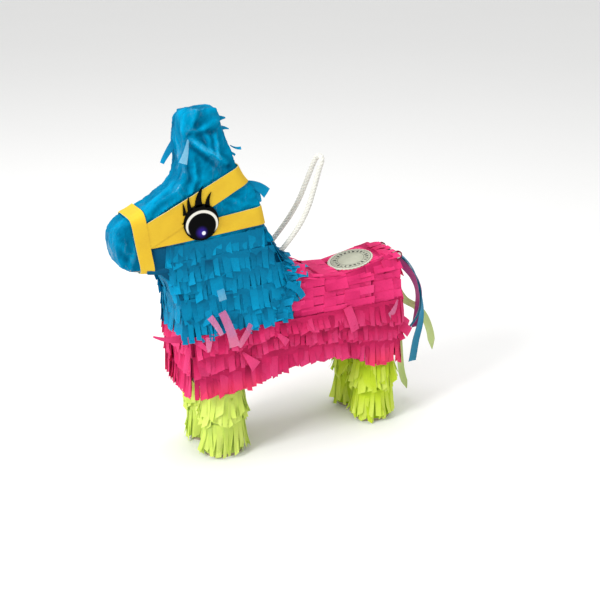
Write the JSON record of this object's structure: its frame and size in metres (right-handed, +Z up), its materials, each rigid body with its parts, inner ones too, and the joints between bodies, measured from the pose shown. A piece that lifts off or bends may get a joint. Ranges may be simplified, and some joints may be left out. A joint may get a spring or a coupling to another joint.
{
  "type": "pinata",
  "caption": "Small donkey pinata in fringed blue, pink and lime tissue, with a yellow paper halter, hanging loop, streamer tail and a fill flap under a round label.",
  "frame": {"origin": "on the ground, under the middle of the box around the donkey", "axes": "+Z up, head towards -X, tail towards +X, the donkey's left side towards -Y"},
  "size_m": [0.2203, 0.0474, 0.2153],
  "materials": {
    "card": "plain brown card",
    "blue_tissue": "fringed crepe tissue, slightly glossy",
    "pink_tissue": "fringed crepe tissue, slightly glossy",
    "lime_tissue": "fringed crepe tissue, slightly glossy",
    "yellow_paper": "satin paper strap with cream cut edges",
    "eye_card": "printed card, slightly glossy",
    "label_paper": "pale paper sticker",
    "white_cord": "twisted cord, matt",
    "blue_ribbon": "paper streamer",
    "pink_ribbon": "paper streamer",
    "lime_ribbon": "paper streamer"
  },
  "bodies": {
    "shell": {"back_strip": "card", "belly_panel": "card", "body_row_1": "pink_tissue", "body_row_2": "pink_tissue", "body_row_3": "pink_tissue", "chest_strip": "card", "crown_strap": "yellow_paper", "ear_strip": "card", "ear_wrap": "blue_tissue", "eye_left": "eye_card", "eye_right": "eye_card", "forehead_strip": "card", "head_wrap": "blue_tissue", "jaw_strip": "card", "leg_front_left": "card", "leg_front_left_row_lower": "lime_tissue", "leg_front_left_row_upper": "lime_tissue", "leg_front_right": "card", "leg_front_right_row_lower": "lime_tissue", "leg_front_right_row_upper": "lime_tissue", "leg_rear_left": "card", "leg_rear_left_row_lower": "lime_tissue", "leg_rear_left_row_upper": "lime_tissue", "leg_rear_right": "card", "leg_rear_right_row_lower": "lime_tissue", "leg_rear_right_row_upper": "lime_tissue", "loop_knot_left": "white_cord", "loop_knot_right": "white_cord", "muzzle_strip": "card", "muzzle_wrap": "blue_tissue", "nape_strip": "card", "neck_row_1": "blue_tissue", "neck_row_2": "blue_tissue", "neck_row_3": "blue_tissue", "neck_row_4": "blue_tissue", "noseband": "yellow_paper", "rump_strip": "card", "saddle_row_1": "pink_tissue", "saddle_row_2": "pink_tissue", "saddle_row_3": "pink_tissue", "saddle_row_4": "pink_tissue", "saddle_row_5": "pink_tissue", "side_panel_left": "card", "side_panel_right": "card", "sole_front_left": "card", "sole_front_right": "card", "sole_rear_left": "card", "sole_rear_right": "card", "tail_tab": "pink_tissue", "throat_strap": "yellow_paper"},
    "flap": {"fill_flap": "card", "flap_tissue": "pink_tissue", "label": "label_paper"},
    "loop": {"hang_loop": "white_cord"},
    "tail": {"tail_tie": "pink_tissue", "tail_blue_long": "blue_ribbon", "tail_blue_short": "blue_ribbon", "tail_lime_long": "lime_ribbon", "tail_lime_short": "lime_ribbon", "tail_pink": "pink_ribbon"}
  },
  "joints": [
    {"name": "fill_flap_fold", "type": "hinge", "parent": "shell", "child": "flap", "pos_m": [0.0633, 0, 0.11127], "axis": [0, 1, 0], "range_deg": [0, 120]},
    {"name": "hang_loop_swing", "type": "hinge", "parent": "shell", "child": "loop", "pos_m": [-0.0062, 0, 0.1233], "axis": [0, 1, 0], "range_deg": [-48, 55]},
    {"name": "tail_swing", "type": "hinge", "parent": "shell", "child": "tail", "pos_m": [0.0775, 0, 0.1096], "axis": [0, -1, 0], "range_deg": [-5, 55]}
  ]
}
